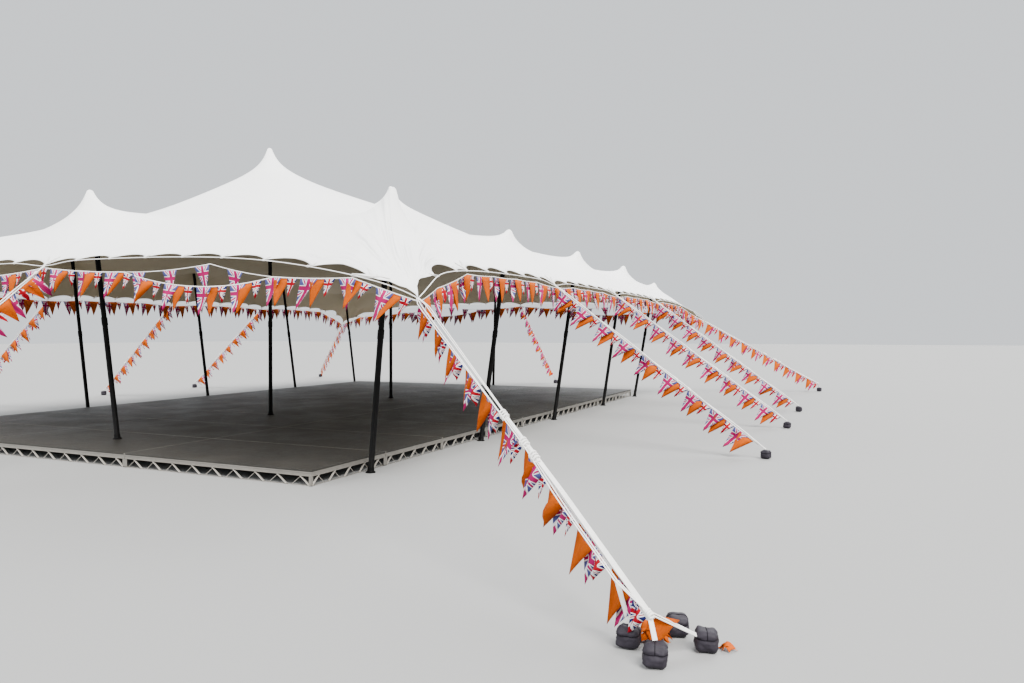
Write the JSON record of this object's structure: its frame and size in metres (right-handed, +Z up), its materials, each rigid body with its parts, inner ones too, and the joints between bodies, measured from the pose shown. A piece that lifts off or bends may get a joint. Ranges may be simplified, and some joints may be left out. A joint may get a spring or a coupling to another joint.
{
  "type": "stretch tent",
  "caption": "Open-sided white stretch tent on raked black poles and two king poles, with guyed edges, ground anchors, festive bunting and a low staging deck.",
  "frame": {"origin": "on the ground at the middle of the tent's whole footprint, anchors included", "axes": "+Z up; +Y from the open front to the back, along the long side; +X to the right for someone facing the back"},
  "size_m": [15.33, 17.12, 4.25],
  "materials": {
    "canopy_fabric": "smooth white stretch knit, coated, matt with a soft sheen",
    "pole_black": "satin black powder coat",
    "rope_white": "white braided rope and flat webbing",
    "anchor_cover": "dark charcoal padded cover",
    "bunting_cloth": "printed cloth pennants, plain orange between cross-patterned red, white and blue",
    "deck_board": "dark brown phenolic-faced plywood",
    "deck_frame": "mill aluminium edge rail and open truss"
  },
  "bodies": {
    "root": {"canopy_front_left": "canopy_fabric", "canopy_front_middle": "canopy_fabric", "canopy_front_right": "canopy_fabric", "canopy_back_left": "canopy_fabric", "canopy_back_middle": "canopy_fabric", "canopy_back_right": "canopy_fabric", "side_pole_right_1": "pole_black", "side_pole_right_2": "pole_black", "side_pole_right_3": "pole_black", "side_pole_right_4": "pole_black", "side_pole_right_5": "pole_black", "side_pole_left_1": "pole_black", "side_pole_left_2": "pole_black", "side_pole_left_3": "pole_black", "side_pole_left_4": "pole_black", "side_pole_left_5": "pole_black", "front_pole": "pole_black", "back_pole": "pole_black", "king_pole_front": "pole_black", "king_pole_back": "pole_black", "edge_rope": "rope_white", "guy_right_front": "rope_white", "guy_right_middle": "rope_white", "guy_right_back": "rope_white", "guy_left_front": "rope_white", "guy_left_middle": "rope_white", "guy_left_back": "rope_white", "guy_front_centre": "rope_white", "guy_back_centre": "rope_white", "guy_corner_front_right": "rope_white", "guy_corner_front_left": "rope_white", "guy_corner_back_right": "rope_white", "guy_corner_back_left": "rope_white", "anchor_right_front": "anchor_cover", "anchor_right_middle": "anchor_cover", "anchor_right_back": "anchor_cover", "anchor_left_front": "anchor_cover", "anchor_left_middle": "anchor_cover", "anchor_left_back": "anchor_cover", "anchor_front_centre": "anchor_cover", "anchor_back_centre": "anchor_cover", "anchor_front_right_1": "anchor_cover", "anchor_front_right_2": "anchor_cover", "anchor_front_right_3": "anchor_cover", "anchor_front_right_4": "anchor_cover", "anchor_front_left_1": "anchor_cover", "anchor_front_left_2": "anchor_cover", "anchor_front_left_3": "anchor_cover", "anchor_front_left_4": "anchor_cover", "anchor_back_right_1": "anchor_cover", "anchor_back_left_1": "anchor_cover", "bunting_front": "bunting_cloth", "bunting_back": "bunting_cloth", "bunting_right": "bunting_cloth", "bunting_left": "bunting_cloth", "deck_floor": "deck_board", "deck_frame": "deck_frame"}
  },
  "joints": []
}
